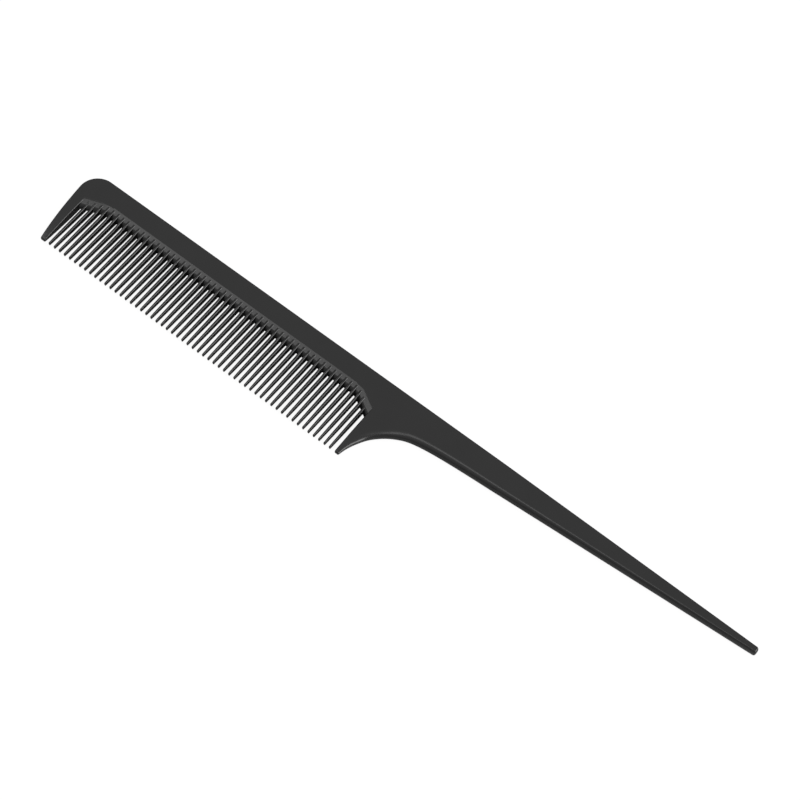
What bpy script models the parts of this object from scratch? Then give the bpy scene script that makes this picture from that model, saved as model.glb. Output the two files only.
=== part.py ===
"""Rat tail comb: a fine-toothed head on a straight spine, with a long pin tail.

The comb lies flat on its back. +X runs along the spine towards the tail, +Y runs from the tooth
tips to the straight back edge, and +Z points up out of the face. The origin is on the flat back
of the spine, at the middle of the tooth row. Front and back are mirror images about MID_Z.

The real comb is one moulding. Its regions are modelled as separate solids that meet face to face:
the spine with the stubs of the teeth, each fine tooth, the two guard teeth and the tail.
"""

import bmesh
import bpy

MM = 0.001

# Teeth
TOOTH_COUNT = 55
TOOTH_PITCH = 1.818 * MM
TOOTH_TIP_Y = -22.35 * MM
TOOTH_CREST_HALF_WIDTH = 0.27 * MM
TOOTH_WAIST_HALF_WIDTH = 0.48 * MM
TOOTH_HALF_THICKNESS = 1.38 * MM
STUB_LENGTH = 0.2 * MM
STUB_BURIED = 2.2 * MM

# Below the root a tooth keeps its section for a while, then thins towards a rounded tip.
# Each row: height above the tip, then waist, crest and thickness as shares of the root's.
TOOTH_TAPER = (
    (9.6 * MM, 0.95, 0.92, 0.89),
    (5.5 * MM, 0.87, 0.90, 0.74),
    (2.4 * MM, 0.77, 0.92, 0.57),
    (0.45 * MM, 0.70, 0.88, 0.42),
    (0.0 * MM, 0.40, 0.45, 0.20),
)

# Spine and tail, seen from the front
BACK_EDGE_Y = 3.17 * MM
HEAD_END_X = -54.37 * MM
HEAD_CORNER_RADIUS = 5.9 * MM
END_GUARD_WALL_X = -50.62 * MM
TAIL_GUARD_WALL_X = 50.86 * MM
GUARD_TIP_Y = -22.45 * MM
GUARD_TIP_ROUND = 0.35 * MM
END_FACE_INSET = 0.02 * MM
END_FACE_DROP = 0.6 * MM
TAIL_TIP_X = 171.0 * MM
TAIL_TIP_Y = 1.81 * MM
TAIL_TIP_HALF_HEIGHT = 1.0 * MM
TAIL_TIP_ROUND = 0.7 * MM
TAIL_TOP_BEND_X = 88.0 * MM

# Sections of the tail's rounded end: how far into the round, and their size beside the full one
TAIL_END = ((0.65, 0.8), (1.0, 0.5))

# Outer edge of the end guard tooth, from the rounded corner down to its tip
END_GUARD_EDGE = (
    (-54.37 * MM, -2.73 * MM),
    (-54.37 * MM, -4.20 * MM),
    (-53.25 * MM, -16.10 * MM),
    (-52.22 * MM, -21.95 * MM),
)

# Lower edge of the tail guard tooth and of the tail, as two curves that run into each other
TAIL_GUARD_EDGE = (
    (52.20 * MM, -21.95 * MM),
    (52.57 * MM, -18.67 * MM),
    (55.09 * MM, -11.52 * MM),
    (63.04 * MM, -7.95 * MM),
)
NECK_EDGE = (
    (63.04 * MM, -7.95 * MM),
    (67.00 * MM, -6.16 * MM),
    (77.68 * MM, -5.49 * MM),
    (88.00 * MM, -4.84 * MM),
)

# Thickness
THICKNESS = 3.5 * MM
MID_Z = THICKNESS / 2
HALF_THICKNESS = THICKNESS / 2
GUARD_THINNING_Y = -9.0 * MM
GUARD_THINNING_POWER = 1.8
GUARD_TIP_HALF_THICKNESS = 0.6 * MM
TAIL_THINNING_X = 88.0 * MM
TAIL_THINNING_POWER = 1.6
TAIL_TIP_HALF_THICKNESS = 1.38 * MM

# Long edges: a small flat on the back edge and on the end guard's outer edge, and a deep round
# on the lower edge of horn, neck and tail. A low edge's profile is given as shares of its depth
# and of the half thickness, and the depth of the round as (x, depth) along the comb.
BACK_EDGE_CHAMFER = 0.3 * MM
TIP_EDGE_DEPTH = 0.3 * MM
END_GUARD_EDGE_DEPTH = 1.5 * MM
CHAMFERED_LOW_EDGE = ((0.0, 0.8), (1.0, 1.0))
ROUND_LOW_EDGE = ((0.0, 0.35), (0.3, 0.8), (1.0, 1.0))
ROUND_DEPTHS = ((63.0 * MM, 2.4 * MM), (88.0 * MM, 1.75 * MM), (171.0 * MM, 0.7 * MM))
WIDEST_LOW_EDGE = 0.55
SMALLEST_STEP = 0.1 * MM

# Levels at which the guard teeth's faces are bent, so that they thin in a curve
GUARD_BENDS_Y = (-20.0 * MM, -16.0 * MM, -9.0 * MM)

# Root line: the knife edge between the teeth where the two faces' ramps meet.
# It is straight over most of the row and drops towards each guard tooth.
ROOT_Y = -5.55 * MM
ROOT_LEFT_BEND_X = -43.3 * MM
ROOT_LEFT_Y = -8.4 * MM
ROOT_RIGHT_BEND_X = 44.4 * MM
ROOT_RIGHT_Y = -9.35 * MM
ROOT_LAND_HALF = 0.08 * MM
RAMP_HEIGHT = 0.9 * MM
RAMP_HALF_THICKNESS = 1.1 * MM
BEVEL_HEIGHT = 2.6 * MM

# How many straight pieces each curved stretch of the outline gets
CORNER_STEPS = 5
GUARD_EDGE_STEPS = 7
NECK_EDGE_STEPS = 7
TAIL_STEPS = 3


def mix(start, end, share):
    return start + (end - start) * share


def bezier_points(control, steps):
    """Points along a cubic curve, both ends included."""
    points = []
    for step in range(steps + 1):
        t = step / steps
        weights = ((1 - t) ** 3, 3 * t * (1 - t) ** 2, 3 * t * t * (1 - t), t ** 3)
        x = sum(weight * point[0] for weight, point in zip(weights, control))
        y = sum(weight * point[1] for weight, point in zip(weights, control))
        points.append((x, y))
    return points


def back_edge_y(x):
    """Height of the straight back edge, with the round corner and the tail's slight drop."""
    corner_x = HEAD_END_X + HEAD_CORNER_RADIUS
    if x < corner_x:
        across = corner_x - x
        rise = max(HEAD_CORNER_RADIUS ** 2 - across ** 2, 0.0) ** 0.5
        return BACK_EDGE_Y - HEAD_CORNER_RADIUS + rise
    if x > TAIL_TOP_BEND_X:
        share = (x - TAIL_TOP_BEND_X) / (TAIL_TIP_X - TAIL_TOP_BEND_X)
        return mix(BACK_EDGE_Y, TAIL_TIP_Y + TAIL_TIP_HALF_HEIGHT, share)
    return BACK_EDGE_Y


def root_y(x):
    """Height of the knife edge between the teeth."""
    if x < ROOT_LEFT_BEND_X:
        share = (ROOT_LEFT_BEND_X - x) / (ROOT_LEFT_BEND_X - END_GUARD_WALL_X)
        return mix(ROOT_Y, ROOT_LEFT_Y, share)
    if x > ROOT_RIGHT_BEND_X:
        share = (x - ROOT_RIGHT_BEND_X) / (TAIL_GUARD_WALL_X - ROOT_RIGHT_BEND_X)
        return mix(ROOT_Y, ROOT_RIGHT_Y, share)
    return ROOT_Y


def half_thickness(x, y):
    """Half the thickness of the guard teeth and tail, which thin towards their tips."""
    half = HALF_THICKNESS
    if x > TAIL_THINNING_X:
        share = (x - TAIL_THINNING_X) / (TAIL_TIP_X - TAIL_THINNING_X)
        half = mix(HALF_THICKNESS, TAIL_TIP_HALF_THICKNESS, share ** TAIL_THINNING_POWER)
    if y < GUARD_THINNING_Y:
        share = (GUARD_THINNING_Y - y) / (GUARD_THINNING_Y - GUARD_TIP_Y)
        half = mix(HALF_THICKNESS, GUARD_TIP_HALF_THICKNESS, min(share, 1.0) ** GUARD_THINNING_POWER)
    return half


def ring(x, front):
    """Closed section at x from its front half, given as (y, distance from the middle plane)."""
    points = [(x, y, MID_Z + half) for y, half in front]
    points += [(x, y, MID_Z - half) for y, half in reversed(front)]
    return points


def round_depth(x):
    """How far the round of the lower edge reaches up the face at x."""
    depths = ROUND_DEPTHS
    if x <= depths[0][0]:
        return depths[0][1]
    for (start_x, start), (end_x, end) in zip(depths, depths[1:]):
        if x <= end_x:
            return mix(start, end, (x - start_x) / (end_x - start_x))
    return depths[-1][1]


def plate_ring(x, low_y, high_y, low_edge, low_depth):
    """Section of a guard tooth or the tail: shaped low edge, face, chamfered back edge."""
    height = high_y - low_y
    depth = min(low_depth, height * WIDEST_LOW_EDGE)
    cut = min(BACK_EDGE_CHAMFER, height * (1 - WIDEST_LOW_EDGE) / 2)
    levels = [(low_y + inset * depth, share) for inset, share in low_edge]
    front = [(y, half_thickness(x, y) * share) for y, share in levels]
    top = high_y - cut
    for number, bend_y in enumerate(GUARD_BENDS_Y):
        lowest = front[-1][0] + SMALLEST_STEP
        highest = top - SMALLEST_STEP * (len(GUARD_BENDS_Y) - number)
        y = min(max(bend_y, lowest), highest)
        front.append((y, half_thickness(x, y)))
    front.append((top, half_thickness(x, top)))
    front.append((high_y, half_thickness(x, high_y) - cut))
    return ring(x, front)


def spine_ring(x):
    """Section of the spine: knife edge, steep ramp, shallow bevel, flat face, back edge."""
    low_y = root_y(x)
    high_y = back_edge_y(x)
    return ring(x, [
        (low_y, ROOT_LAND_HALF),
        (low_y + RAMP_HEIGHT, RAMP_HALF_THICKNESS),
        (low_y + BEVEL_HEIGHT, HALF_THICKNESS),
        (high_y - BACK_EDGE_CHAMFER, HALF_THICKNESS),
        (high_y, HALF_THICKNESS - BACK_EDGE_CHAMFER),
    ])


def tooth_ring(x, y, waist, crest, thickness):
    """Six-sided section of a tooth at height y: widest at the middle plane, narrow crests."""
    waist_x = TOOTH_WAIST_HALF_WIDTH * waist
    crest_x = TOOTH_CREST_HALF_WIDTH * crest
    half = TOOTH_HALF_THICKNESS * thickness
    return [
        (x - crest_x, y, MID_Z + half),
        (x + crest_x, y, MID_Z + half),
        (x + waist_x, y, MID_Z),
        (x + crest_x, y, MID_Z - half),
        (x - crest_x, y, MID_Z - half),
        (x - waist_x, y, MID_Z),
    ]


def loft_mesh(name, bodies):
    """Mesh of one or more closed lofts, each given as its list of equal-sized rings."""
    vertices = []
    faces = []
    for rings in bodies:
        size = len(rings[0])
        base = len(vertices)
        last = base + size * (len(rings) - 1)
        for points in rings:
            vertices.extend(points)
        for start in range(base, last, size):
            for corner in range(size):
                following = (corner + 1) % size
                faces.append((start + corner, start + following,
                              start + size + following, start + size + corner))
        faces.append(tuple(range(base, base + size)))
        faces.append(tuple(range(last, last + size)))
    mesh = bpy.data.meshes.new(name)
    mesh.from_pydata(vertices, [], faces)
    turn_faces_out(mesh)
    return mesh


def turn_faces_out(mesh):
    shape = bmesh.new()
    shape.from_mesh(mesh)
    bmesh.ops.recalc_face_normals(shape, faces=shape.faces)
    shape.to_mesh(mesh)
    shape.free()


def plastic(name, colour, roughness):
    """Black moulded plastic as a Principled BSDF material."""
    material = bpy.data.materials.new(name)
    material.use_nodes = True
    shader = material.node_tree.nodes["Principled BSDF"]
    shader.inputs["Base Color"].default_value = (*colour, 1.0)
    shader.inputs["Roughness"].default_value = roughness
    shader.inputs["Metallic"].default_value = 0.0
    return material


def add_object(name, mesh, collection, parent, material=None):
    item = bpy.data.objects.new(name, mesh)
    collection.objects.link(item)
    item.parent = parent
    if material and not mesh.materials:
        mesh.materials.append(material)
    return item


def make_spine(collection, cutters, parent, material):
    """The bar above the tooth row, joined to the stubs that carry the teeth."""
    wall_x = END_GUARD_WALL_X
    corner_x = HEAD_END_X + HEAD_CORNER_RADIUS
    stations = [mix(wall_x, corner_x, step / CORNER_STEPS) for step in range(CORNER_STEPS + 1)]
    stations += [ROOT_LEFT_BEND_X, ROOT_RIGHT_BEND_X, TAIL_GUARD_WALL_X]
    mesh = loft_mesh("spine", [[spine_ring(x) for x in stations]])
    spine = add_object("spine", mesh, collection, parent, material)

    stub_bodies = []
    for x in tooth_places():
        low_y = root_y(x) - STUB_LENGTH
        high_y = root_y(x) + STUB_BURIED
        stub_bodies.append([tooth_ring(x, y, 1, 1, 1) for y in (low_y, high_y)])
    stubs = add_object("tooth_stubs", loft_mesh("tooth_stubs", stub_bodies), cutters, parent)
    stubs.hide_render = True
    stubs.display_type = "WIRE"

    union = spine.modifiers.new("join_stubs", "BOOLEAN")
    union.operation = "UNION"
    union.object = stubs
    return spine


def make_end_guard(collection, parent, material):
    """Outer guard tooth at the head's end, with most of the rounded corner above it."""
    edge = bezier_points(END_GUARD_EDGE, GUARD_EDGE_STEPS)
    end_x = HEAD_END_X + END_FACE_INSET
    outline = [(end_x, END_GUARD_EDGE[0][1] - END_FACE_DROP, END_FACE_DROP)]
    outline += [(x, y, END_GUARD_EDGE_DEPTH) for x, y in edge[1:-1]]
    outline += [(*edge[-1], TIP_EDGE_DEPTH)]
    outline += [(edge[-1][0] + GUARD_TIP_ROUND, GUARD_TIP_Y, TIP_EDGE_DEPTH)]
    outline += [(END_GUARD_WALL_X - GUARD_TIP_ROUND, GUARD_TIP_Y, TIP_EDGE_DEPTH)]
    outline += [(END_GUARD_WALL_X, GUARD_TIP_Y + GUARD_TIP_ROUND, TIP_EDGE_DEPTH)]
    rings = [plate_ring(x, y, back_edge_y(x), CHAMFERED_LOW_EDGE, depth) for x, y, depth in outline]
    mesh = loft_mesh("end_guard_tooth", [rings])
    return add_object("end_guard_tooth", mesh, collection, parent, material)


def make_tail_guard(collection, parent, material):
    """Horn-shaped guard tooth between the tooth row and the tail."""
    edge = bezier_points(TAIL_GUARD_EDGE, GUARD_EDGE_STEPS)
    outline = [(TAIL_GUARD_WALL_X, GUARD_TIP_Y + GUARD_TIP_ROUND, TIP_EDGE_DEPTH)]
    outline += [(TAIL_GUARD_WALL_X + GUARD_TIP_ROUND, GUARD_TIP_Y, TIP_EDGE_DEPTH)]
    outline += [(edge[0][0] - GUARD_TIP_ROUND, GUARD_TIP_Y, TIP_EDGE_DEPTH)]
    outline += [(x, y, round_depth(x)) for x, y in edge]
    rings = [plate_ring(x, y, back_edge_y(x), ROUND_LOW_EDGE, depth) for x, y, depth in outline]
    mesh = loft_mesh("tail_guard_tooth", [rings])
    return add_object("tail_guard_tooth", mesh, collection, parent, material)


def make_tail(collection, parent, material):
    """Neck and long tapering tail with a blunt rounded end."""
    edge = bezier_points(NECK_EDGE, NECK_EDGE_STEPS)
    bend_x, bend_y = edge[-1]
    full_x = TAIL_TIP_X - TAIL_TIP_ROUND
    tip_low_y = TAIL_TIP_Y - TAIL_TIP_HALF_HEIGHT
    for step in range(1, TAIL_STEPS + 1):
        share = step / TAIL_STEPS
        edge.append((mix(bend_x, full_x, share), mix(bend_y, tip_low_y, share)))
    rings = [plate_ring(x, y, back_edge_y(x), ROUND_LOW_EDGE, round_depth(x)) for x, y in edge]
    for beyond, share in TAIL_END:
        x = full_x + beyond * TAIL_TIP_ROUND
        half = TAIL_TIP_HALF_HEIGHT * share
        depth = round_depth(x) * share
        points = plate_ring(x, TAIL_TIP_Y - half, TAIL_TIP_Y + half, ROUND_LOW_EDGE, depth)
        rings.append([(px, py, mix(MID_Z, pz, share)) for px, py, pz in points])
    tail = add_object("tail", loft_mesh("tail", [rings]), collection, parent, material)
    tail.data.shade_smooth()
    tail.data.set_sharp_from_angle(angle=0.6)
    return tail


def tooth_places():
    """Middle of each fine tooth along the spine."""
    first = -TOOTH_PITCH * (TOOTH_COUNT - 1) / 2
    return [first + TOOTH_PITCH * index for index in range(TOOTH_COUNT)]


def make_teeth(collection, parent, material):
    """The fine teeth, all ending on one line; teeth of one length share a mesh."""
    meshes = {}
    for number, x in enumerate(tooth_places(), start=1):
        top_y = root_y(x) - STUB_LENGTH
        if top_y not in meshes:
            rings = [tooth_ring(0.0, top_y, 1, 1, 1)]
            rings += [tooth_ring(0.0, TOOTH_TIP_Y + height, *shares) for height, *shares in TOOTH_TAPER]
            meshes[top_y] = loft_mesh("fine_tooth", [rings])
        tooth = add_object(f"tooth_{number:02d}", meshes[top_y], collection, parent, material)
        tooth.location.x = x


def build_comb():
    for item in list(bpy.data.objects):
        bpy.data.objects.remove(item, do_unlink=True)
    collection = bpy.data.collections.new("rat_tail_comb")
    cutters = bpy.data.collections.new("rat_tail_comb_cutters")
    bpy.context.scene.collection.children.link(collection)
    bpy.context.scene.collection.children.link(cutters)
    root = bpy.data.objects.new("comb_frame", None)
    collection.objects.link(root)

    make_spine(collection, cutters, root, plastic("spine_plastic", (0.021, 0.021, 0.022), 0.46))
    make_end_guard(collection, root, plastic("end_guard_plastic", (0.022, 0.022, 0.023), 0.44))
    make_tail_guard(collection, root, plastic("tail_guard_plastic", (0.022, 0.022, 0.023), 0.44))
    make_tail(collection, root, plastic("tail_plastic", (0.020, 0.020, 0.021), 0.42))
    make_teeth(collection, root, plastic("tooth_plastic", (0.018, 0.018, 0.019), 0.40))


build_comb()
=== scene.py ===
"""Studio picture of a black moulded rat tail comb lying flat on a pale floor.

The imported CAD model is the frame: every position below comes from its nodes' boxes, and the
smooth moulding built here replaces its faceted solids. Distances are in metres in the CAD's own
frame: +X along the spine towards the tail, +Y towards the back edge, +Z out of the front face.
"""

import math

import bmesh
import bpy
from mathutils import Matrix, Vector
from mathutils.geometry import delaunay_2d_cdt


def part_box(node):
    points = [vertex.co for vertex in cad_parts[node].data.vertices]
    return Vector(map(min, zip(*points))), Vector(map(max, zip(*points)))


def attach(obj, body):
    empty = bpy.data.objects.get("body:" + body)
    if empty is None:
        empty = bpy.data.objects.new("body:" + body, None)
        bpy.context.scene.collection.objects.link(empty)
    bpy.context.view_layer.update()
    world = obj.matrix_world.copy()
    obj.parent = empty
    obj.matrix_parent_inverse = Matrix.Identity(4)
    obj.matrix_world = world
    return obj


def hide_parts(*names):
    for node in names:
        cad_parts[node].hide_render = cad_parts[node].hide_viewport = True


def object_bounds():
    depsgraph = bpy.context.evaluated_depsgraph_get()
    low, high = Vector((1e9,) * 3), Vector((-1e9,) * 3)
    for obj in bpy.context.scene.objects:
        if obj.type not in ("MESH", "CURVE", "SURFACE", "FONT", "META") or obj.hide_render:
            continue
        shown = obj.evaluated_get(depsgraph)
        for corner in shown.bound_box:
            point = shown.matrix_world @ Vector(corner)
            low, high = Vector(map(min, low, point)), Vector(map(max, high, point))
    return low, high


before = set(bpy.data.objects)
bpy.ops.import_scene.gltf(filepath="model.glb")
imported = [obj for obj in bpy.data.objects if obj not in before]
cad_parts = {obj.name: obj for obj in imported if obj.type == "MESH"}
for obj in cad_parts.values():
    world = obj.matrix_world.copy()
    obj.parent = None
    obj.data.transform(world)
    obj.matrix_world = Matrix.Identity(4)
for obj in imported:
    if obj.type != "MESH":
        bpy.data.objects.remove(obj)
cad_low, cad_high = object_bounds()

MM = 0.001
TOOTH_NAMES = sorted(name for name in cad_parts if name.startswith("tooth_"))

# ---------------------------------------------------------------- sizes taken from the frame
CENTRE = (cad_low + cad_high) / 2
SPINE_LOW, SPINE_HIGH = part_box("spine")
BACK_Y = SPINE_HIGH.y
HALF = (SPINE_HIGH.z - SPINE_LOW.z) / 2
MID_Z = (SPINE_HIGH.z + SPINE_LOW.z) / 2
LEFT_WALL_X = SPINE_LOW.x
RIGHT_WALL_X = SPINE_HIGH.x
GUARD_TIP_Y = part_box("tail_guard_tooth")[0].y
TIP_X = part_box("tail")[1].x
STUB = 0.2 * MM  # the CAD's fine teeth end this far below the knife edge at their roots
ROOT_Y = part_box(TOOTH_NAMES[len(TOOTH_NAMES) // 2])[1].y + STUB

# ---------------------------------------------------------------- shape of the moulding
CORNER_RADIUS = 5.9 * MM
HEAD_END_X = LEFT_WALL_X - 3.75 * MM
TAIL_THINNING_X = TIP_X - 83.0 * MM
TAIL_THINNING_POWER = 1.6
TAIL_TIP_HALF = 1.38 * MM
TAIL_TIP_LOW_Y = BACK_Y - 2.36 * MM
TAIL_TIP_HIGH_Y = BACK_Y - 0.35 * MM
TAIL_TIP_ROUND = 0.65 * MM
GUARD_TIP_HALF = 0.6 * MM
GUARD_THINNING_Y = GUARD_TIP_Y + 13.45 * MM
GUARD_THINNING_POWER = 1.8
GUARD_TIP_ROUND = 0.36 * MM
GUARD_TIP_CENTRE_Y = GUARD_TIP_Y + GUARD_TIP_ROUND + 0.02 * MM
END_GUARD_CORNER_X = LEFT_WALL_X - 1.20 * MM
HORN_CORNER_X = RIGHT_WALL_X + 0.98 * MM
WALL_LEAN = 0.065 * MM
NECK_X = RIGHT_WALL_X + 12.18 * MM

# roots of the teeth: a knife edge in the middle plane, a steep ramp and a shallow bevel
ROOT_LEFT_BEND_X = LEFT_WALL_X + 7.32 * MM
ROOT_RIGHT_BEND_X = RIGHT_WALL_X - 6.46 * MM
ROOT_LEFT_SLOPE = 0.389
ROOT_RIGHT_SLOPE = 0.588
ROOT_EASE = 1.3 * MM
ROOT_BEND_STEPS = 6
ROOT_PROFILE = (
    # height above the knife edge, half thickness; the last point is buried in the spine
    (0.00 * MM, 0.06 * MM),
    (0.25 * MM, 0.46 * MM),
    (0.50 * MM, 0.80 * MM),
    (0.80 * MM, 1.10 * MM),
    (1.00 * MM, 1.24 * MM),
    (1.20 * MM, 1.330 * MM),
    (1.60 * MM, 1.438 * MM),
    (2.00 * MM, 1.545 * MM),
    (2.50 * MM, 1.680 * MM),
    (2.75 * MM, 1.748 * MM),
    (3.00 * MM, 1.70 * MM),
)
BEVEL_HEIGHT = ROOT_PROFILE[-2][0]

# fine teeth
TOOTH_PROFILE = (
    # height above the tip, half width, half thickness, roundness (1 is an oval, less is squarer)
    (17.0 * MM, 0.565 * MM, 1.735 * MM, 0.78),
    (16.5 * MM, 0.545 * MM, 1.64 * MM, 0.80),
    (16.0 * MM, 0.520 * MM, 1.42 * MM, 0.82),
    (15.4 * MM, 0.510 * MM, 1.27 * MM, 0.85),
    (14.0 * MM, 0.520 * MM, 1.18 * MM, 0.88),
    (11.0 * MM, 0.500 * MM, 1.11 * MM, 0.90),
    (8.0 * MM, 0.470 * MM, 1.02 * MM, 0.92),
    (5.0 * MM, 0.430 * MM, 0.93 * MM, 0.96),
    (2.0 * MM, 0.375 * MM, 0.85 * MM, 1.0),
    (0.5 * MM, 0.330 * MM, 0.78 * MM, 1.0),
    (0.0 * MM, 0.320 * MM, 0.75 * MM, 1.0),
)
BACK_CREST_HALF = 1.20 * MM  # the crests end lower on the back, so the gaps' upper ends stay open
TOOTH_RUN_UP = 2.2 * MM      # how far a tooth runs up into the root bevels
TOOTH_TIP_ROUND = 0.24 * MM
TOOTH_CORNERS = 28
TOOTH_TIP_RINGS = 7
TOOTH_SHAFT_RINGS = 22

# edge roundings, as depth in from the rim and height down from the face
BEVEL_TOP_EDGE = (0.004 * MM, 0.004 * MM)
BACK_EDGE = (0.30 * MM, 0.30 * MM)
TAIL_BACK_EDGE = (0.50 * MM, 0.50 * MM)
END_GUARD_EDGE = (0.35 * MM, 0.35 * MM)
INNER_WALL_EDGE = (0.40 * MM, 0.40 * MM)
INNER_WALL_TIP_EDGE = (0.30 * MM, 0.40 * MM)
GUARD_TIP_EDGE = (0.30 * MM, 0.45 * MM)
HORN_TIP_EDGE = (0.40 * MM, 0.55 * MM)

# lower edge of the horn, neck and tail: a full round, and a wide bevel near the horn's tip
HORN_TIP_DEPTH = 0.60 * MM
HORN_DEPTH_START_Y = GUARD_TIP_Y + 1.45 * MM
HORN_DEPTH_GAIN = 0.155
HORN_BEVEL_SLOPE = 0.62
HORN_BEVEL_FLATNESS = 1.5
HORN_BEVEL_END_Y = GUARD_TIP_Y + 6.0 * MM
HORN_ROUND_START_Y = GUARD_TIP_Y + 10.5 * MM
NECK_DEPTH = 2.3 * MM
TAIL_DEPTH = 1.75 * MM
TAIL_TIP_DEPTH = 0.62 * MM
LEAST_LOW_EDGE_DEPTH = 0.4 * MM
UPRIGHT_RIM = 0.03 * MM

# fineness of the mesh
EDGE_STEPS = 8
SHORT_SPACING = 0.5 * MM
LONG_SPACING = 2.0 * MM
BODY_SMOOTH_BELOW = 32   # degrees: bends sharper than this stay crisp
TOOTH_SMOOTH_BELOW = 50

# studio
FLOOR_HALF_SIZE = 3.0
FLOOR_GAP = 0.02 * MM


def mix(start, end, share):
    return start + (end - start) * share


def smooth(share):
    share = min(max(share, 0.0), 1.0)
    return share * share * (3 - 2 * share)


def root_drop(beyond, slope):
    """Fall of the root line at a distance beyond one of its bends, easing in around the bend."""
    if beyond > ROOT_EASE:
        return slope * beyond
    return slope * max(beyond + ROOT_EASE, 0.0) ** 2 / (4 * ROOT_EASE)


def root_y(x):
    """Height of the knife edge between the teeth, which drops towards both guard teeth."""
    left = root_drop(ROOT_LEFT_BEND_X - x, ROOT_LEFT_SLOPE)
    right = root_drop(x - ROOT_RIGHT_BEND_X, ROOT_RIGHT_SLOPE)
    return ROOT_Y - left - right


def root_stretch(x):
    """Stretch along Y that keeps the root bevels equally wide where the root line slopes."""
    step = 0.05 * MM
    return math.hypot(1.0, (root_y(x + step) - root_y(x - step)) / (2 * step))


def root_stations():
    """Places along the tooth row where the root bevels get a section."""
    stations = [LEFT_WALL_X]
    for bend in (ROOT_LEFT_BEND_X, ROOT_RIGHT_BEND_X):
        stations += [mix(bend - ROOT_EASE, bend + ROOT_EASE, step / ROOT_BEND_STEPS)
                     for step in range(ROOT_BEND_STEPS + 1)]
    return stations + [RIGHT_WALL_X]


def half_thickness(x, y):
    """Half the moulding's thickness: the guard teeth thin towards their tips and the tail along X."""
    if x > TAIL_THINNING_X:
        share = (x - TAIL_THINNING_X) / (TIP_X - TAIL_THINNING_X)
        return mix(HALF, TAIL_TIP_HALF, min(share, 1.0) ** TAIL_THINNING_POWER)
    share = (GUARD_THINNING_Y - y) / (GUARD_THINNING_Y - GUARD_TIP_Y)
    share = min(max(share, 0.0), 1.0)
    return mix(HALF, GUARD_TIP_HALF, share ** GUARD_THINNING_POWER)


def low_edge_depth(x, y):
    """How far the rounding of the horn's, neck's and tail's lower edge reaches in from the rim."""
    if x < NECK_X:
        return min(HORN_TIP_DEPTH + HORN_DEPTH_GAIN * (y - HORN_DEPTH_START_Y), NECK_DEPTH)
    if x < TAIL_THINNING_X:
        return mix(NECK_DEPTH, TAIL_DEPTH, (x - NECK_X) / (TAIL_THINNING_X - NECK_X))
    return mix(TAIL_DEPTH, TAIL_TIP_DEPTH, (x - TAIL_THINNING_X) / (TIP_X - TAIL_THINNING_X))


# ---------------------------------------------------------------- outline helpers
def bezier(control, count):
    """Points along a cubic curve with four control points."""
    points = []
    for step in range(count + 1):
        t = step / count
        weights = ((1 - t) ** 3, 3 * t * (1 - t) ** 2, 3 * t * t * (1 - t), t ** 3)
        points.append((
            sum(weight * point[0] for weight, point in zip(weights, control)),
            sum(weight * point[1] for weight, point in zip(weights, control)),
        ))
    return points


def arc(centre_x, centre_y, radius, start, end, count):
    """Points along a circle from one angle to another, in degrees from +X."""
    points = []
    for step in range(count + 1):
        angle = math.radians(mix(start, end, step / count))
        points.append((centre_x + radius * math.cos(angle), centre_y + radius * math.sin(angle)))
    return points


def line(start, end, spacing):
    """Points along a straight stretch, about one spacing apart."""
    length = math.dist(start, end)
    count = max(1, round(length / spacing))
    return [(mix(start[0], end[0], step / count), mix(start[1], end[1], step / count))
            for step in range(count + 1)]


def edged(points, first, last=None):
    """Gives every point a round edge, changing evenly from the first (depth, height) to the last."""
    last = last or first
    count = max(1, len(points) - 1)
    return [(x, y, mix(first[0], last[0], index / count), mix(first[1], last[1], index / count), 1.0)
            for index, (x, y) in enumerate(points)]


def low_edged(points):
    """Gives the points of the lower edge their section.

    It is a full round that leaves almost no flat on the rim, except near the horn's tip, where
    it flattens into a wide bevel above an upright rim.
    """
    edged_points = []
    for x, y in points:
        depth = max(low_edge_depth(x, y), LEAST_LOW_EDGE_DEPTH)
        full = half_thickness(x, y) - UPRIGHT_RIM
        roundness = smooth((y - HORN_BEVEL_END_Y) / (HORN_ROUND_START_Y - HORN_BEVEL_END_Y))
        height = mix(min(depth * HORN_BEVEL_SLOPE, full), full, roundness)
        edged_points.append((x, y, depth, height, mix(HORN_BEVEL_FLATNESS, 1.0, roundness)))
    return edged_points


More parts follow.
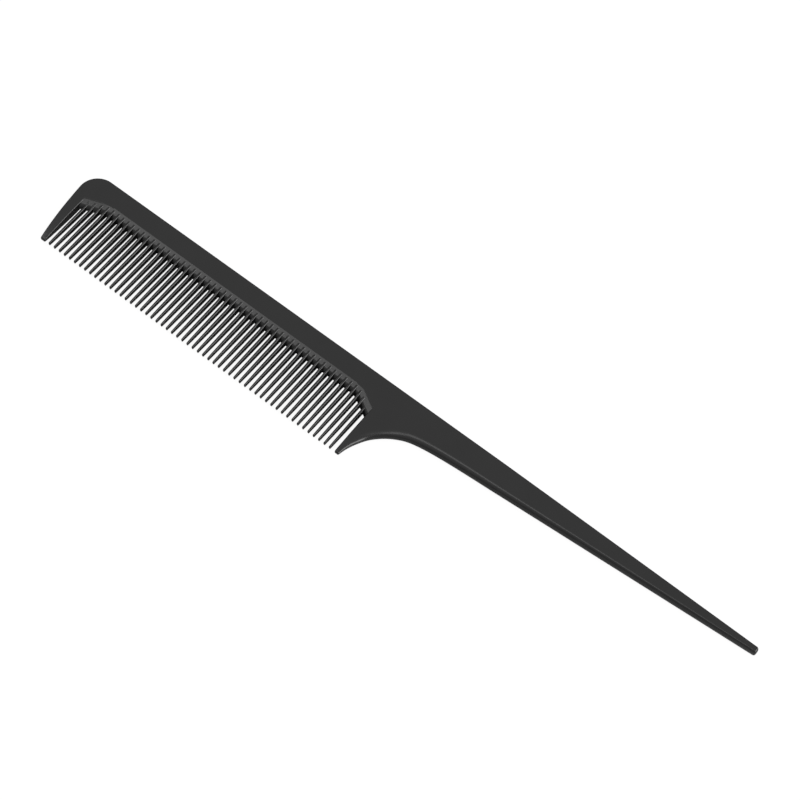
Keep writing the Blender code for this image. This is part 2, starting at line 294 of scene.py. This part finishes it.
def plate_outline():
    """Outline of the whole moulding without the fine teeth, anticlockwise from the end guard's tip.

    Between the guard teeth it follows the top of the root bevels, which are joined on afterwards.
    """
    bevel_top = [(x, root_y(x) + BEVEL_HEIGHT * root_stretch(x)) for x in root_stations()]
    left_top = (LEFT_WALL_X - WALL_LEAN, bevel_top[0][1])
    right_top = (RIGHT_WALL_X + WALL_LEAN, bevel_top[-1][1])

    # end guard tooth: blunt tip with round corners, then its straight inner wall
    radius = GUARD_TIP_ROUND
    tip = arc(END_GUARD_CORNER_X, GUARD_TIP_CENTRE_Y, radius, 190, 270, 6)
    tip += arc(LEFT_WALL_X + WALL_LEAN - radius, GUARD_TIP_CENTRE_Y, radius, 270, 360, 7)
    outline = edged(tip, GUARD_TIP_EDGE)
    wall = line(tip[-1], left_top, SHORT_SPACING)
    outline += edged(wall[1:], INNER_WALL_TIP_EDGE, INNER_WALL_EDGE)

    # top of the root bevels
    outline += edged(bevel_top[1:-1], BEVEL_TOP_EDGE)

    # tail guard tooth: inner wall, blunt tip, then the curved edge that runs into the tail
    tip = arc(RIGHT_WALL_X - WALL_LEAN + radius, GUARD_TIP_CENTRE_Y, radius, 180, 270, 6)
    tip += arc(HORN_CORNER_X, GUARD_TIP_CENTRE_Y, radius, 270, 350, 7)
    wall = line(right_top, tip[0], SHORT_SPACING)
    outline += edged(wall[:-1], INNER_WALL_EDGE, INNER_WALL_TIP_EDGE)
    outline += edged(tip, GUARD_TIP_EDGE, HORN_TIP_EDGE)
    outline += low_edged(bezier((
        (RIGHT_WALL_X + 1.34 * MM, GUARD_TIP_Y + 0.50 * MM),
        (RIGHT_WALL_X + 1.71 * MM, GUARD_TIP_Y + 3.78 * MM),
        (RIGHT_WALL_X + 4.23 * MM, GUARD_TIP_Y + 10.93 * MM),
        (NECK_X, GUARD_TIP_Y + 14.50 * MM),
    ), 40))
    neck = bezier((
        (NECK_X, GUARD_TIP_Y + 14.50 * MM),
        (RIGHT_WALL_X + 16.14 * MM, GUARD_TIP_Y + 16.29 * MM),
        (RIGHT_WALL_X + 26.82 * MM, GUARD_TIP_Y + 16.96 * MM),
        (TAIL_THINNING_X, GUARD_TIP_Y + 17.61 * MM),
    ), 30)
    outline += low_edged(neck[1:])

    # tail: straight lower edge, blunt end with round corners, nearly straight back edge
    radius = TAIL_TIP_ROUND
    end_x = TIP_X - radius
    outline += low_edged(line(neck[-1], (end_x, TAIL_TIP_LOW_Y), LONG_SPACING)[1:])
    low_end = (TAIL_TIP_DEPTH, outline[-1][3])
    outline += edged(arc(end_x, TAIL_TIP_LOW_Y + radius, radius, 270, 360, 8)[1:], low_end)
    high_corner = arc(end_x, TAIL_TIP_HIGH_Y - radius, radius, 0, 90, 8)
    outline += edged(high_corner, low_end, TAIL_BACK_EDGE)
    bend = (TAIL_THINNING_X, BACK_Y)
    back = line((end_x, TAIL_TIP_HIGH_Y), bend, LONG_SPACING)
    outline += edged(back[1:], TAIL_BACK_EDGE, BACK_EDGE)

    # back edge of the head, its rounded corner, and the end guard's outer edge
    corner_x = HEAD_END_X + CORNER_RADIUS
    outline += edged(line(bend, (corner_x, BACK_Y), LONG_SPACING)[1:], BACK_EDGE)
    corner = arc(corner_x, BACK_Y - CORNER_RADIUS, CORNER_RADIUS, 90, 180, 32)
    outline += edged(corner[1:], BACK_EDGE, END_GUARD_EDGE)
    outer = bezier((
        (HEAD_END_X, BACK_Y - CORNER_RADIUS),
        (HEAD_END_X, GUARD_TIP_Y + 18.25 * MM),
        (LEFT_WALL_X - 2.63 * MM, GUARD_TIP_Y + 6.35 * MM),
        (LEFT_WALL_X - 1.60 * MM, GUARD_TIP_Y + 0.50 * MM),
    ), 40)
    outline += edged(outer[1:], END_GUARD_EDGE, GUARD_TIP_EDGE)
    return outline


# ---------------------------------------------------------------- mesh helpers
def new_piece(name, vertices, faces):
    mesh = bpy.data.meshes.new(name)
    mesh.from_pydata(vertices, [], faces)
    mesh.validate()
    piece = bpy.data.objects.new(name, mesh)
    bpy.context.scene.collection.objects.link(piece)
    return piece


def inward_normals(outline):
    """Direction into the plate at each outline point, lengthened at corners to keep the depth."""
    least_cosine = 0.5
    normals = []
    count = len(outline)
    for index in range(count):
        before = Vector(outline[index - 1][:2])
        here = Vector(outline[index][:2])
        after = Vector(outline[(index + 1) % count][:2])
        arriving = (here - before).normalized()
        leaving = (after - here).normalized()
        left_before = Vector((-arriving.y, arriving.x))
        left_after = Vector((-leaving.y, leaving.x))
        bisector = (left_before + left_after).normalized()
        normals.append(bisector / max(least_cosine, bisector.dot(left_after)))
    return normals


def rounded_plate(name, outline):
    """Closed plate on an outline whose points carry the depth, height and flatness of the edge."""
    least_rise = 0.01 * MM
    vertices = []
    count = len(outline)
    normals = inward_normals(outline)
    angles = [math.pi / 2 * step / EDGE_STEPS for step in range(EDGE_STEPS + 1)]
    for (x, y, depth, height, flatness), inward in zip(outline, normals):
        column = []
        for angle in angles:
            inset = depth * (1 - abs(math.cos(angle)) ** flatness)
            px = x + inward.x * inset
            py = y + inward.y * inset
            rise = half_thickness(px, py) - height * (1 - math.sin(angle) ** flatness)
            column.append((px, py, max(rise, least_rise)))
        vertices += [(px, py, MID_Z + rise) for px, py, rise in reversed(column)]
        vertices += [(px, py, MID_Z - rise) for px, py, rise in column]
    size = 2 * len(angles)
    faces = []
    for index in range(count):
        here = index * size
        after = ((index + 1) % count) * size
        for level in range(size - 1):
            faces.append((here + level, here + level + 1, after + level + 1, after + level))
    rim = [Vector(vertices[index * size][:2]) for index in range(count)]
    edges = [(index, (index + 1) % count) for index in range(count)]
    inside_only = 1
    tolerance = 1e-9
    found = delaunay_2d_cdt(rim, edges, [list(range(count))], inside_only, tolerance)
    source = [original[0] for original in found[3]]
    for triangle in found[2]:
        corners = [source[corner] for corner in triangle]
        faces.append(tuple(corner * size for corner in corners))
        faces.append(tuple(corner * size + size - 1 for corner in reversed(corners)))
    return new_piece(name, vertices, faces)


def loft(name, rings):
    """Closed solid through equal-sized rings of points, with flat ends."""
    size = len(rings[0])
    vertices = [point for ring in rings for point in ring]
    faces = []
    for start in range(0, size * (len(rings) - 1), size):
        for corner in range(size):
            following = (corner + 1) % size
            faces.append((start + corner, start + size + corner,
                          start + size + following, start + following))
    last = size * (len(rings) - 1)
    faces.append(tuple(range(size)))
    faces.append(tuple(reversed(range(last, last + size))))
    return new_piece(name, vertices, faces)


def face_outwards(piece):
    shape = bmesh.new()
    shape.from_mesh(piece.data)
    bmesh.ops.recalc_face_normals(shape, faces=shape.faces)
    shape.to_mesh(piece.data)
    shape.free()


def unite(base, addition):
    """Joins two closed solids into one closed mesh and removes the second."""
    union = base.modifiers.new("unite", "BOOLEAN")
    union.operation = "UNION"
    union.object = addition
    bpy.context.view_layer.update()
    evaluated = base.evaluated_get(bpy.context.evaluated_depsgraph_get())
    mesh = bpy.data.meshes.new_from_object(evaluated)
    base.modifiers.remove(union)
    base.data = mesh
    bpy.data.objects.remove(addition)


def shade_moulded(piece, angle):
    """Shades smoothly over every bend below the angle, and keeps flat faces flat."""
    piece.data.shade_smooth()
    piece.data.set_sharp_from_angle(angle=math.radians(angle))
    weighted = piece.modifiers.new("flat_faces_stay_flat", "WEIGHTED_NORMAL")
    weighted.keep_sharp = True


# ---------------------------------------------------------------- the moulding's regions
def root_section(x):
    """Section across the tooth roots at x: knife edge, steep ramp, shallow bevel, buried top."""
    low_y = root_y(x)
    stretch = root_stretch(x)
    front = [(x, low_y + height * stretch, MID_Z + half) for height, half in ROOT_PROFILE]
    back = [(x, low_y + height * stretch, MID_Z - half) for height, half in reversed(ROOT_PROFILE)]
    return front + back


def make_root_strip():
    buried = 0.25 * MM
    stations = root_stations()
    stations[0] -= buried
    stations[-1] += buried
    strip = loft("root_strip", [root_section(x) for x in stations])
    face_outwards(strip)
    return strip


def make_body():
    body = rounded_plate("comb_body", plate_outline())
    face_outwards(body)
    unite(body, make_root_strip())
    shade_moulded(body, BODY_SMOOTH_BELOW)
    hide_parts("spine", "end_guard_tooth", "tail_guard_tooth", "tail")
    return body


def tooth_sizes(height):
    """Half width, half thickness and roundness of a fine tooth at a height above its tip."""
    rows = TOOTH_PROFILE
    if height >= rows[0][0]:
        return rows[0][1:]
    for upper, lower in zip(rows, rows[1:]):
        if height >= lower[0]:
            share = (height - lower[0]) / (upper[0] - lower[0])
            return tuple(mix(low, high, share) for low, high in zip(lower[1:], upper[1:]))
    return rows[-1][1:]


def tooth_section(x, y, half_width, half, roundness):
    """Squarish oval, long axis front to back, with a narrow crest that is lower on the back."""
    section = []
    for corner in range(TOOTH_CORNERS):
        angle = math.tau * corner / TOOTH_CORNERS
        across = math.copysign(abs(math.sin(angle)) ** roundness, math.sin(angle))
        upwards = math.copysign(abs(math.cos(angle)) ** roundness, math.cos(angle))
        reach = half if upwards > 0 else min(half, BACK_CREST_HALF)
        section.append((x + half_width * across, y, MID_Z + reach * upwards))
    return section


def make_tooth(name):
    low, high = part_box(name)
    x = (low.x + high.x) / 2
    tip_y = low.y
    top_height = high.y + STUB + TOOTH_RUN_UP - tip_y
    first_ring = 0.35  # in ring steps, so that the tip ends in a small face and not in a point
    rings = []
    for step in range(TOOTH_TIP_RINGS):
        share = (step + first_ring) / (TOOTH_TIP_RINGS + first_ring)
        angle = math.pi / 2 * share
        height = TOOTH_TIP_ROUND * (1 - math.cos(angle))
        half_width, half, roundness = tooth_sizes(height)
        half_width *= math.sin(angle)
        half *= math.sin(angle)
        rings.append(tooth_section(x, tip_y + height, half_width, half, roundness))
    for step in range(TOOTH_SHAFT_RINGS):
        height = mix(TOOTH_TIP_ROUND, top_height, (step + 1) / TOOTH_SHAFT_RINGS)
        rings.append(tooth_section(x, tip_y + height, *tooth_sizes(height)))
    tooth = loft("fine_" + name, rings)
    face_outwards(tooth)
    shade_moulded(tooth, TOOTH_SMOOTH_BELOW)
    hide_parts(name)
    return tooth


# ---------------------------------------------------------------- materials
def moulded_plastic():
    """Black satin plastic with a fine moulded grain, uneven gloss and slightly cloudy colour."""
    material = bpy.data.materials.new("black_moulded_plastic")
    material.use_nodes = True
    nodes = material.node_tree.nodes
    links = material.node_tree.links
    shader = nodes["Principled BSDF"]
    shader.inputs["IOR"].default_value = 1.5
    place = nodes.new("ShaderNodeTexCoord")

    cloudy = nodes.new("ShaderNodeTexNoise")
    cloudy.inputs["Scale"].default_value = 140.0
    cloudy.inputs["Detail"].default_value = 5.0
    links.new(place.outputs["Object"], cloudy.inputs["Vector"])

    colour = nodes.new("ShaderNodeMapRange")
    colour.inputs["To Min"].default_value = 0.005
    colour.inputs["To Max"].default_value = 0.008
    links.new(cloudy.outputs["Fac"], colour.inputs["Value"])
    links.new(colour.outputs["Result"], shader.inputs["Base Color"])

    gloss = nodes.new("ShaderNodeMapRange")
    gloss.inputs["To Min"].default_value = 0.20
    gloss.inputs["To Max"].default_value = 0.26
    links.new(cloudy.outputs["Fac"], gloss.inputs["Value"])
    links.new(gloss.outputs["Result"], shader.inputs["Roughness"])

    grain = nodes.new("ShaderNodeTexNoise")
    grain.inputs["Scale"].default_value = 5000.0
    grain.inputs["Detail"].default_value = 2.0
    links.new(place.outputs["Object"], grain.inputs["Vector"])
    bump = nodes.new("ShaderNodeBump")
    bump.inputs["Strength"].default_value = 0.02
    bump.inputs["Distance"].default_value = 0.00001
    links.new(grain.outputs["Fac"], bump.inputs["Height"])
    links.new(bump.outputs["Normal"], shader.inputs["Normal"])
    return material


def floor_material():
    """Pale studio floor: evenly white to the eye, and a soft grey in the plastic's reflections."""
    material = bpy.data.materials.new("pale_floor")
    material.use_nodes = True
    nodes = material.node_tree.nodes
    links = material.node_tree.links
    nodes.clear()
    output = nodes.new("ShaderNodeOutputMaterial")
    seen = nodes.new("ShaderNodeLightPath")
    glow = nodes.new("ShaderNodeEmission")
    glow.inputs["Color"].default_value = (1.0, 1.0, 1.0, 1.0)
    glow.inputs["Strength"].default_value = 0.92
    matte = nodes.new("ShaderNodeBsdfDiffuse")
    matte.inputs["Color"].default_value = (0.12, 0.12, 0.12, 1.0)
    lit = nodes.new("ShaderNodeAddShader")
    links.new(glow.outputs["Emission"], lit.inputs[0])
    links.new(matte.outputs["BSDF"], lit.inputs[1])
    dim = nodes.new("ShaderNodeBsdfDiffuse")
    dim.inputs["Color"].default_value = (0.50, 0.50, 0.50, 1.0)
    choose = nodes.new("ShaderNodeMixShader")
    links.new(seen.outputs["Is Camera Ray"], choose.inputs["Fac"])
    links.new(dim.outputs["BSDF"], choose.inputs[1])
    links.new(lit.outputs["Shader"], choose.inputs[2])
    links.new(choose.outputs["Shader"], output.inputs["Surface"])
    return material


# ---------------------------------------------------------------- studio
def add_softbox(name, offset, width, height, power):
    """Rectangular light at an offset from the comb's centre, turned towards the comb."""
    light = bpy.data.lights.new(name, "AREA")
    light.shape = "RECTANGLE"
    light.size = width
    light.size_y = height
    light.energy = power
    holder = bpy.data.objects.new(name, light)
    bpy.context.scene.collection.objects.link(holder)
    holder.location = CENTRE + Vector(offset)
    holder.rotation_euler = (-Vector(offset)).to_track_quat("-Z", "Y").to_euler()


def make_studio():
    reach = FLOOR_HALF_SIZE
    corners = [(-reach, -reach, 0), (reach, -reach, 0), (reach, reach, 0), (-reach, reach, 0)]
    floor = new_piece("floor", corners, [(0, 1, 2, 3)])
    floor.location.z = cad_low.z - FLOOR_GAP
    floor.data.materials.append(floor_material())

    add_softbox("overhead", (-0.10, -0.235, 0.97), width=1.70, height=0.21, power=2.09)
    add_softbox("right_side", (1.50, 0.34, 0.54), width=2.00, height=0.80, power=30.0)
    bpy.context.scene.world = studio_air()
    bpy.context.scene.view_settings.view_transform = "Standard"


def studio_air():
    """Grey room around the softboxes, dark at the horizon and brighter overhead."""
    world = bpy.data.worlds.new("studio_air")
    world.use_nodes = True
    nodes = world.node_tree.nodes
    links = world.node_tree.links
    background = nodes["Background"]
    background.inputs["Color"].default_value = (1.0, 1.0, 1.0, 1.0)
    direction = nodes.new("ShaderNodeTexCoord")
    split = nodes.new("ShaderNodeSeparateXYZ")
    links.new(direction.outputs["Generated"], split.inputs["Vector"])
    height = nodes.new("ShaderNodeMapRange")
    height.inputs["From Min"].default_value = 0.0
    height.inputs["From Max"].default_value = 0.85
    height.inputs["To Min"].default_value = 0.26
    height.inputs["To Max"].default_value = 0.74
    links.new(split.outputs["Z"], height.inputs["Value"])
    links.new(height.outputs["Result"], background.inputs["Strength"])
    return world


def make_camera():
    """Long lens above the comb's lower side, turned so that the comb runs down to the right."""
    azimuth = math.radians(29.515)
    elevation = math.radians(61.645)
    roll = math.radians(9.115)
    distance = 0.690
    target = Vector((CENTRE.x - 3.555 * MM, CENTRE.y + 10.83 * MM, MID_Z))
    back = Vector((
        math.sin(azimuth) * math.cos(elevation),
        -math.cos(azimuth) * math.cos(elevation),
        math.sin(elevation),
    ))
    camera = bpy.data.cameras.new("camera")
    camera.lens = 115.4
    camera.sensor_width = 36.0
    camera.clip_start = 0.01
    holder = bpy.data.objects.new("camera", camera)
    bpy.context.scene.collection.objects.link(holder)
    turn = (-back).to_track_quat("-Z", "Y").to_matrix().to_4x4() @ Matrix.Rotation(roll, 4, "Z")
    holder.matrix_world = Matrix.Translation(target + back * distance) @ turn
    bpy.context.scene.camera = holder


# ---------------------------------------------------------------- assembly
plastic = moulded_plastic()
pieces = [make_body()] + [make_tooth(name) for name in TOOTH_NAMES]
for piece in pieces:
    piece.data.materials.clear()
    piece.data.materials.append(plastic)
    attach(piece, "root")
make_studio()
make_camera()
